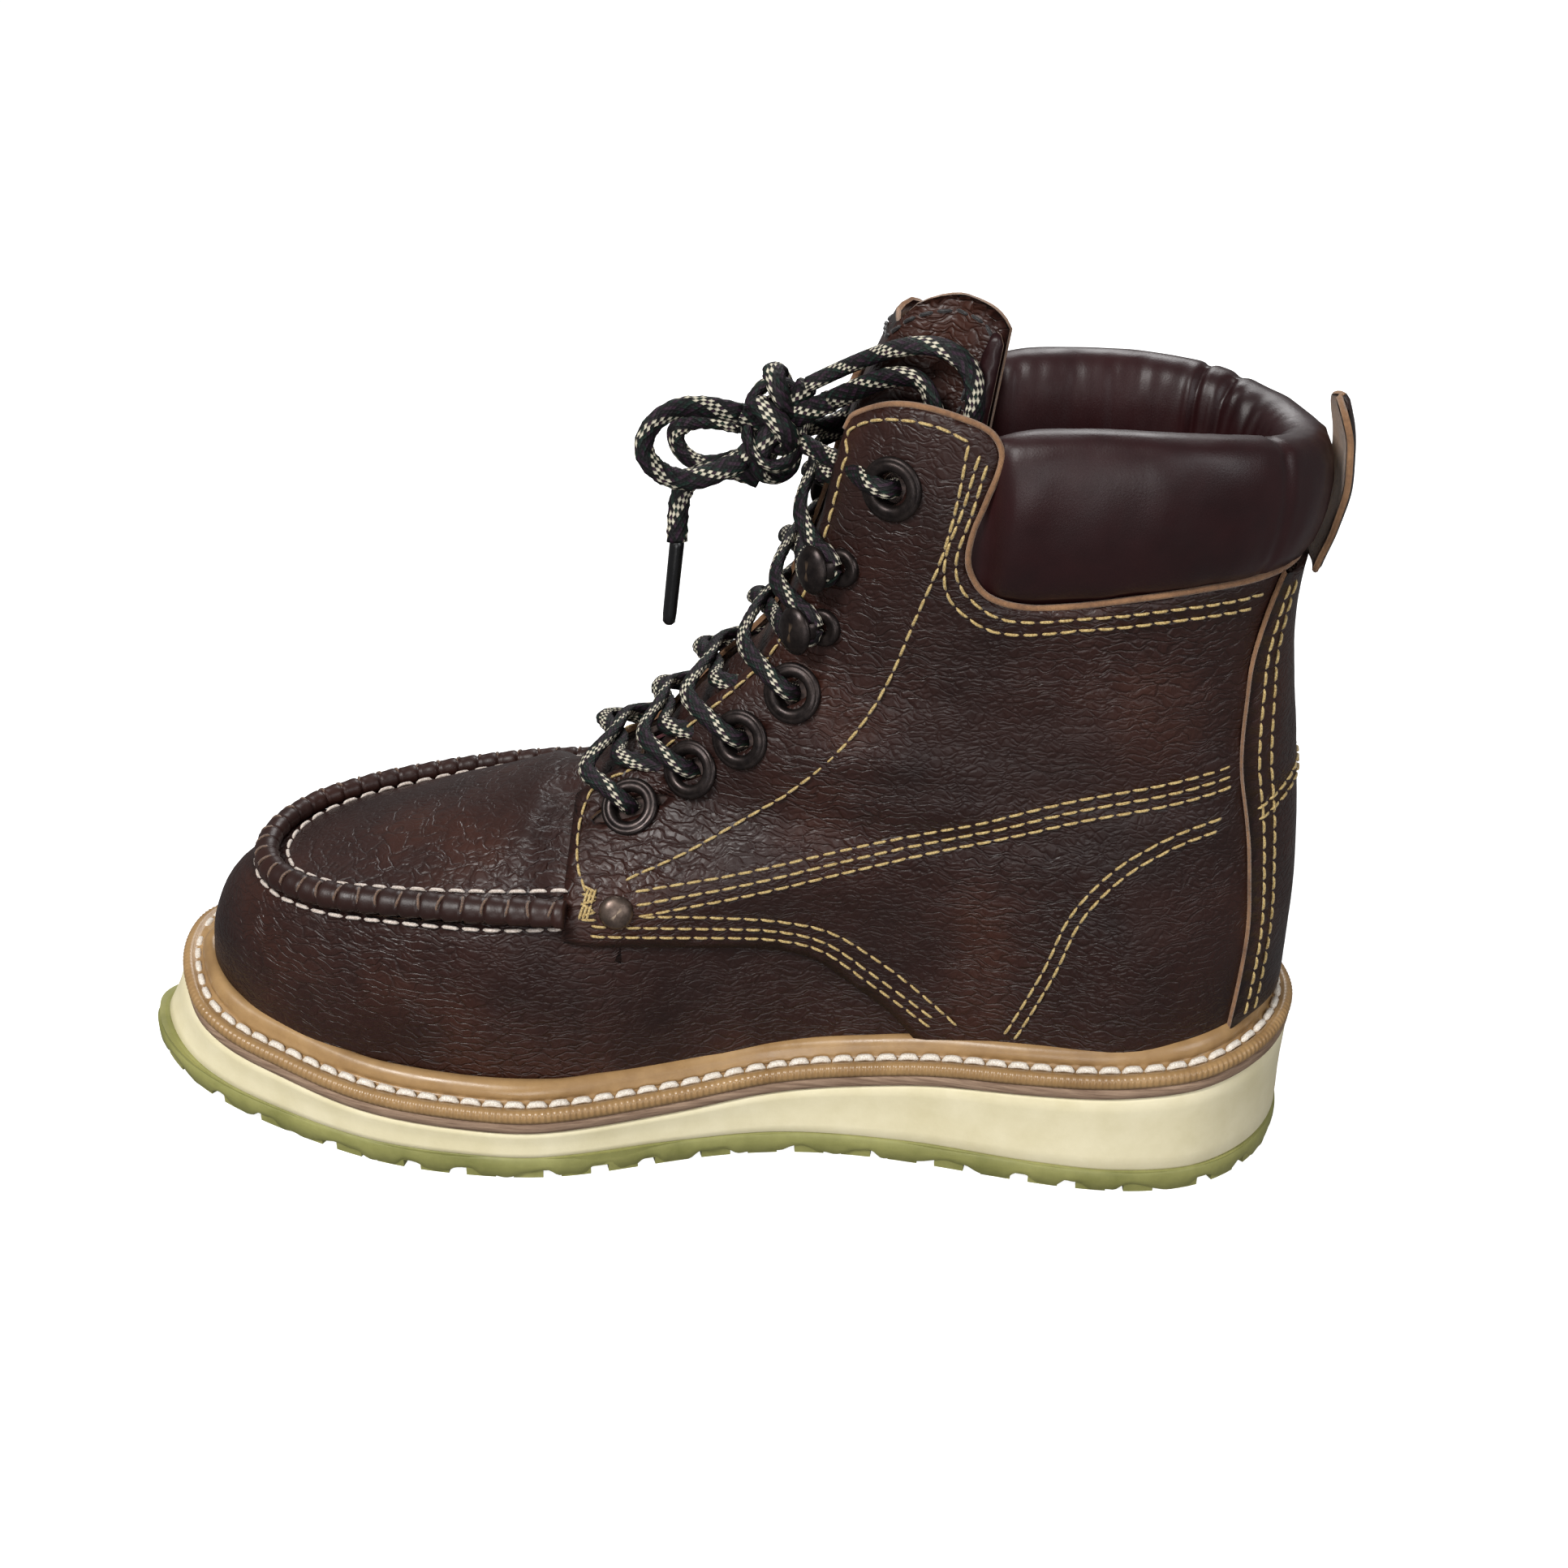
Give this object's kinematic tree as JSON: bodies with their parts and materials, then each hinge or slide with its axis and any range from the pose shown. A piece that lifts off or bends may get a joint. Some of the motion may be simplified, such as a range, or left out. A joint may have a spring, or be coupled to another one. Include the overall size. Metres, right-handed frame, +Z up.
{
  "type": "steel toe work boot",
  "caption": "Laced ankle-high work boot for the right foot, moc toe over a steel cap, storm welt, wedge sole, padded collar, tongue that hinges back and a hinged pull tab",
  "frame": {"origin": "on the ground under the arch, on the outsole's level face", "axes": "+X to the heel, -X to the toe, -Y to the inner (medial) side, +Y to the outer side, +Z up"},
  "size_m": [0.3063, 0.1069, 0.2161],
  "materials": {
    "tread_rubber": "matt olive rubber",
    "wedge_foam": "matt cream wedge rubber",
    "midsole_rubber": "sanded taupe rubber",
    "welt": "semi-gloss ochre rubber",
    "spring_steel": "plain spring steel",
    "cap_steel": "painted safety cap",
    "lining_cloth": "woven lining",
    "cork": "granular cork",
    "board": "fibre board",
    "footbed_cloth": "brushed cloth over foam",
    "upper_leather": "oiled full-grain leather",
    "edging_rubber": "soft edging",
    "foam": "open foam interlining",
    "collar_leather": "smooth soft leather",
    "antique_metal": "antiqued gunmetal",
    "rivet_metal": "antiqued rivet",
    "lace": "braided polyester",
    "aglet_plastic": "heat-shrunk tip",
    "suede": "flesh side of the leather"
  },
  "bodies": {
    "boot": {"outsole": "tread_rubber", "wedge_midsole": "wedge_foam", "rubber_midsole": "midsole_rubber", "storm_welt": "welt", "steel_shank": "spring_steel", "gemming_rib": "lining_cloth", "cork_filler": "cork", "insole_board": "board", "footbed": "footbed_cloth", "vamp_wall": "upper_leather", "vamp_plug": "upper_leather", "moc_seam": "upper_leather", "steel_toe_cap": "cap_steel", "toe_cap_edging": "edging_rubber", "vamp_lining": "lining_cloth", "quarter_medial": "upper_leather", "quarter_foam_medial": "foam", "quarter_lining_medial": "lining_cloth", "quarter_lateral": "upper_leather", "quarter_foam_lateral": "foam", "quarter_lining_lateral": "lining_cloth", "backstay": "upper_leather", "heel_counter": "board", "collar_pad": "collar_leather", "eyelets_medial": "antique_metal", "lace_hooks_medial": "antique_metal", "quarter_rivet_medial": "rivet_metal", "eyelets_lateral": "antique_metal", "lace_hooks_lateral": "antique_metal", "quarter_rivet_lateral": "rivet_metal", "lace_crossings": "lace", "lace_knot": "lace", "lace_loop_large": "lace", "lace_loop_small": "lace", "lace_tail": "lace", "lace_loop_over": "lace", "aglet": "aglet_plastic"},
    "tongue": {"tongue": "upper_leather", "tongue_pad": "collar_leather"},
    "pull_tab": {"pull_tab": "suede"}
  },
  "joints": [
    {"name": "tongue_hinge", "type": "hinge", "parent": "boot", "child": "tongue", "pos_m": [-0.012, 0, 0.106], "axis": [0, 1, 0], "range_deg": [0, 6]},
    {"name": "pull_tab_hinge", "type": "hinge", "parent": "boot", "child": "pull_tab", "pos_m": [0.1425, 0, 0.158], "axis": [0, 1, 0], "range_deg": [0, 45]}
  ]
}
